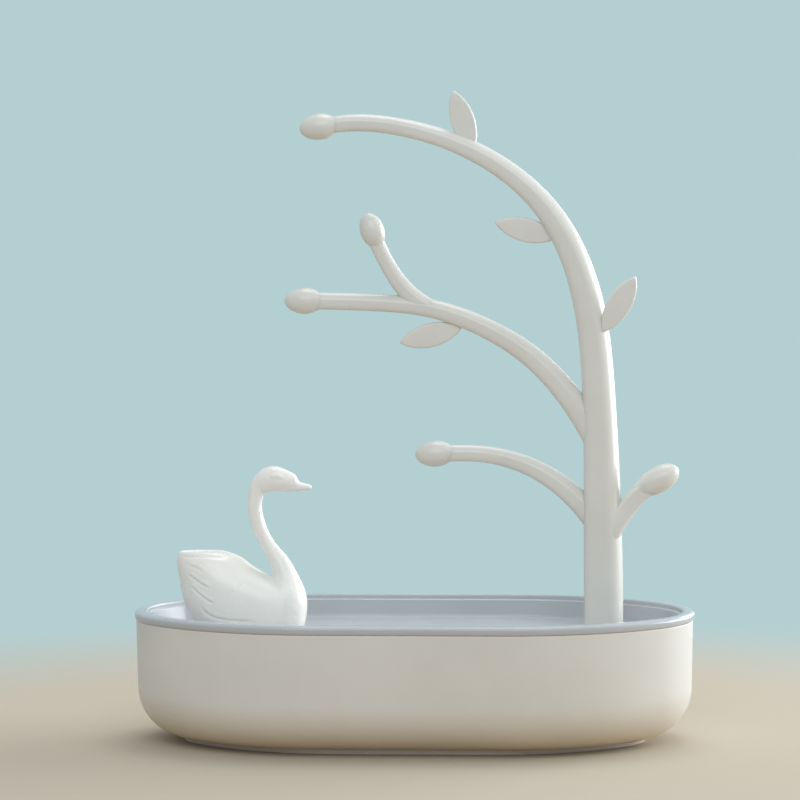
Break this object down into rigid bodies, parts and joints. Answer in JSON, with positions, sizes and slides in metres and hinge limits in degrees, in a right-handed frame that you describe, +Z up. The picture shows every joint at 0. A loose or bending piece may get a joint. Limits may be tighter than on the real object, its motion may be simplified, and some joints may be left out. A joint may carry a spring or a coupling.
{
  "type": "jewelry tree",
  "caption": "White jewelry tree with buds and leaves and a small swan, standing in the grey lift-out tray of an oval white storage box.",
  "frame": {"origin": "on the table, under the middle of the box", "axes": "+X towards the tree's end of the box, +Y to the back as in the picture, +Z up"},
  "size_m": [0.2192, 0.1132, 0.2536],
  "materials": {
    "gloss_white": "glossy warm white",
    "satin_white": "satin white",
    "gloss_grey": "glossy blue-grey",
    "soft_grey": "soft lilac-grey"
  },
  "bodies": {
    "box": {"storage_box": "satin_white", "foot_ring": "soft_grey"},
    "tray": {"lid_tray": "gloss_grey"},
    "tree": {"trunk": "gloss_white", "middle_bough": "gloss_white", "lower_bough": "gloss_white", "right_twig": "gloss_white", "leaf_top": "gloss_white", "leaf_inner": "gloss_white", "leaf_outer": "gloss_white", "leaf_under": "gloss_white"},
    "swan": {"swan_near_half": "gloss_white", "swan_far_half": "gloss_white"}
  },
  "joints": [
    {"name": "tray_lift", "type": "slide", "parent": "box", "child": "tray", "axis": [0, 0, 1], "range_m": [0, 0.06]},
    {"name": "tree_lift", "type": "slide", "parent": "tray", "child": "tree", "axis": [0, 0, 1], "range_m": [0, 0.06]},
    {"name": "swan_lift", "type": "slide", "parent": "tray", "child": "swan", "axis": [0, 0, 1], "range_m": [0, 0.03]}
  ]
}
